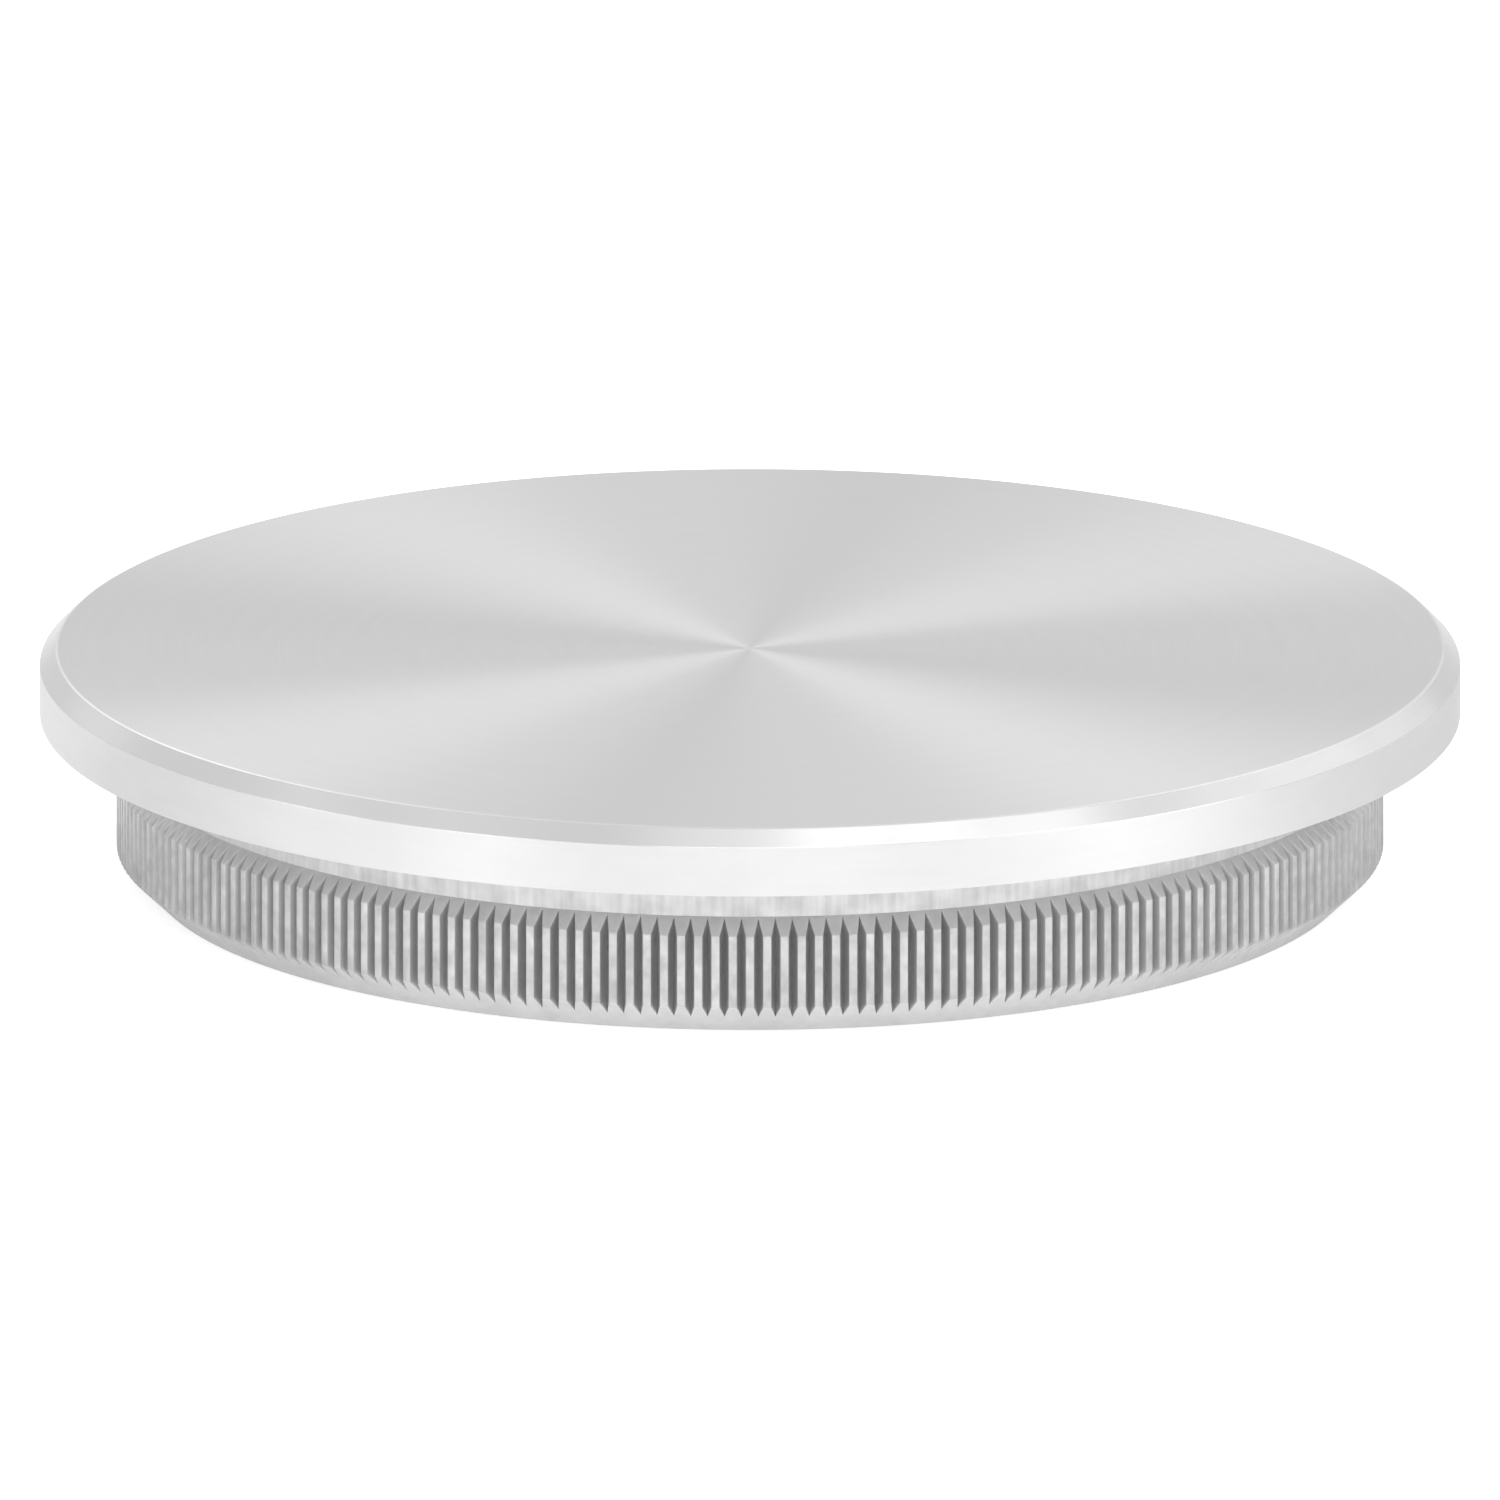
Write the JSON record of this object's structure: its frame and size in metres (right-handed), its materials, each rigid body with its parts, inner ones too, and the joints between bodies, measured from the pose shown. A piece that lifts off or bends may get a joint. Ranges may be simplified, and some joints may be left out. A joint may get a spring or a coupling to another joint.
{
  "type": "tube end plug",
  "caption": "Round knock-in end plug for a handrail tube: a flat bevelled head over a short, straight-knurled spigot with a clear neck and a tapered lead-in.",
  "frame": {"origin": "on the turning axis, in the plane of the spigot's base ring", "axes": "+Z along the turning axis, from the spigot up to the head; the plug is round, so X and Y have no feature of their own, and a knurl crest faces -Y"},
  "size_m": [0.0424, 0.0424, 0.007],
  "materials": {
    "stainless": "bare turned stainless: fine rings on the top face, a smoother rim and bevel, a formed straight knurl on the spigot"
  },
  "bodies": {
    "root": {"end_plug": "stainless"}
  },
  "joints": []
}
